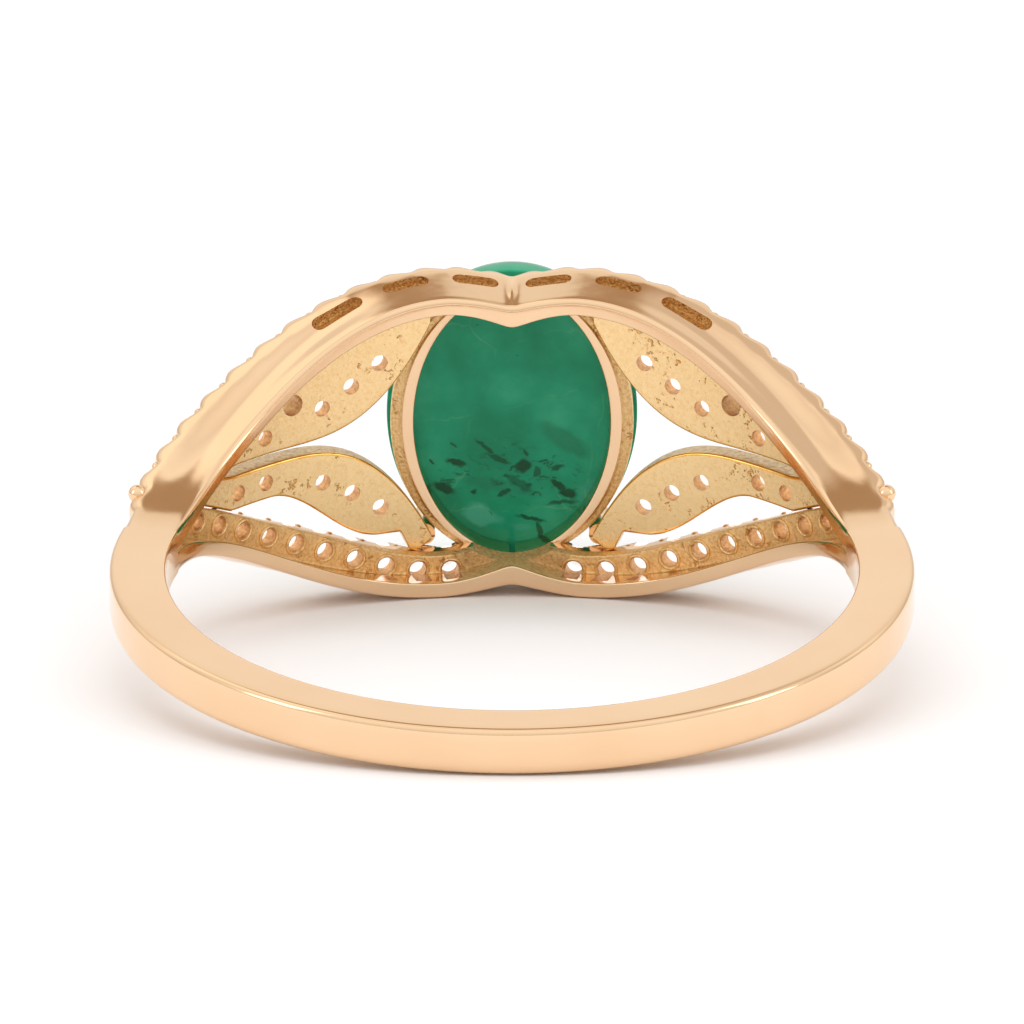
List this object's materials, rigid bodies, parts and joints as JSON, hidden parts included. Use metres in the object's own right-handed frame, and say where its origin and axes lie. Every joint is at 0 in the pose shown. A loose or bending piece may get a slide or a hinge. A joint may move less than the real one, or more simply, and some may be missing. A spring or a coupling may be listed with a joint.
{
  "type": "cocktail ring",
  "caption": "Split-shank cocktail ring: an oval green cabochon held by claws between stone-set rails and pierced leaves, on a plain band.",
  "frame": {"origin": "Centre of the finger bore, on its axis and on the ring's middle plane.", "axes": "+Z along the finger bore, +Y from the bore's centre to the middle of the head and the centre stone, +X to the wearer's side of the head so that the shank lies toward -Y."},
  "size_m": [0.0192, 0.0229, 0.0084],
  "materials": {
    "polished_gold": "mirror-polished warm yellow gold with a slight rose cast",
    "satin_gold": "as-cast yellow gold, fine pits and sandy grain on the finger side",
    "emerald": "polished green cabochon with dark inclusions and faint internal veils",
    "small_stones": "colourless round brilliant-cut stones"
  },
  "bodies": {
    "root": {"shank": "polished_gold", "left_shoulder": "polished_gold", "right_shoulder": "polished_gold", "upper_rail": "polished_gold", "lower_rail": "polished_gold", "upper_left_leaf": "satin_gold", "upper_right_leaf": "satin_gold", "lower_left_leaf": "satin_gold", "lower_right_leaf": "satin_gold", "seat_left_half": "satin_gold", "seat_right_half": "satin_gold", "upper_left_claw": "polished_gold", "upper_right_claw": "polished_gold", "lower_left_claw": "polished_gold", "lower_right_claw": "polished_gold", "centre_stone": "emerald", "upper_left_rail_stones": "small_stones", "upper_right_rail_stones": "small_stones", "lower_left_rail_stones": "small_stones", "lower_right_rail_stones": "small_stones", "upper_left_leaf_stones": "small_stones", "upper_right_leaf_stones": "small_stones", "lower_left_leaf_stones": "small_stones", "lower_right_leaf_stones": "small_stones"}
  },
  "joints": []
}
